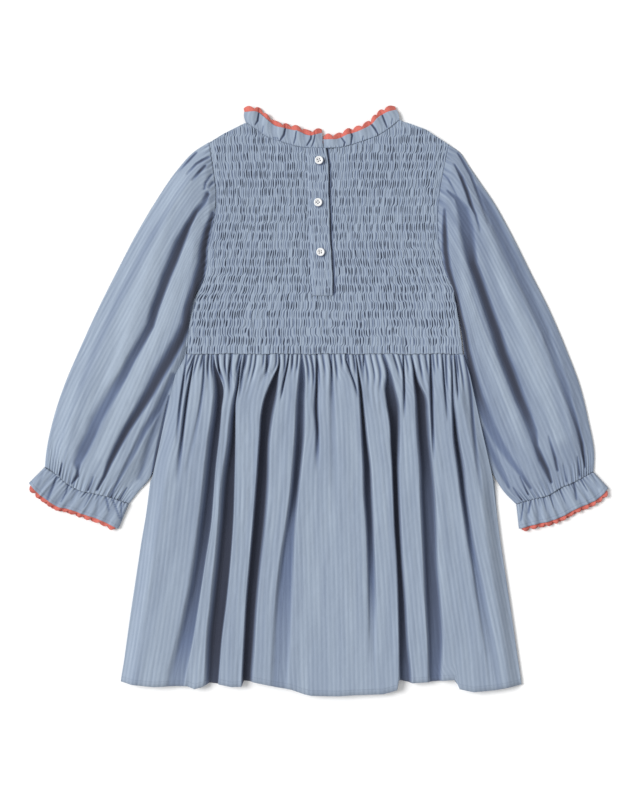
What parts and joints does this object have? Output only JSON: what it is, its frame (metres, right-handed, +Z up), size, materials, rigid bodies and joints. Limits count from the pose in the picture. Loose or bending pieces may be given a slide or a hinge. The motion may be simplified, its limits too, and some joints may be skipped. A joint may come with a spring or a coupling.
{
  "type": "smocked dress",
  "caption": "Child's long-sleeved dress laid flat, with a smocked bodice, gathered skirt, frilled neck and cuffs edged in zigzag braid, and a buttoned back.",
  "frame": {"origin": "middle of the laid dress's bounding box, on the surface that it lies on", "axes": "+X to the right as seen from above, +Y from the hem towards the neck, +Z up from the surface, out of the buttoned back"},
  "size_m": [0.637, 0.6481, 0.0142],
  "materials": {
    "blue_cotton": "matte woven cotton, self-striped along its length",
    "coral_braid": "matte woven zigzag braid",
    "white_button": "white four-hole button, satin"
  },
  "bodies": {
    "root": {"skirt_front": "blue_cotton", "bodice_front": "blue_cotton", "sleeve_left": "blue_cotton", "sleeve_right": "blue_cotton", "cuff_frill_left": "blue_cotton", "cuff_frill_right": "blue_cotton", "skirt_back": "blue_cotton", "bodice_back": "blue_cotton", "placket": "blue_cotton", "neck_frill_left": "blue_cotton", "neck_frill_right": "blue_cotton", "neck_frill_front": "blue_cotton", "cuff_braid_left": "coral_braid", "cuff_braid_left_lower": "coral_braid", "cuff_braid_right": "coral_braid", "cuff_braid_right_lower": "coral_braid", "neck_braid_left": "coral_braid", "neck_braid_right": "coral_braid", "neck_braid_front": "coral_braid", "button_top": "white_button", "button_middle": "white_button", "button_low": "white_button"}
  },
  "joints": []
}
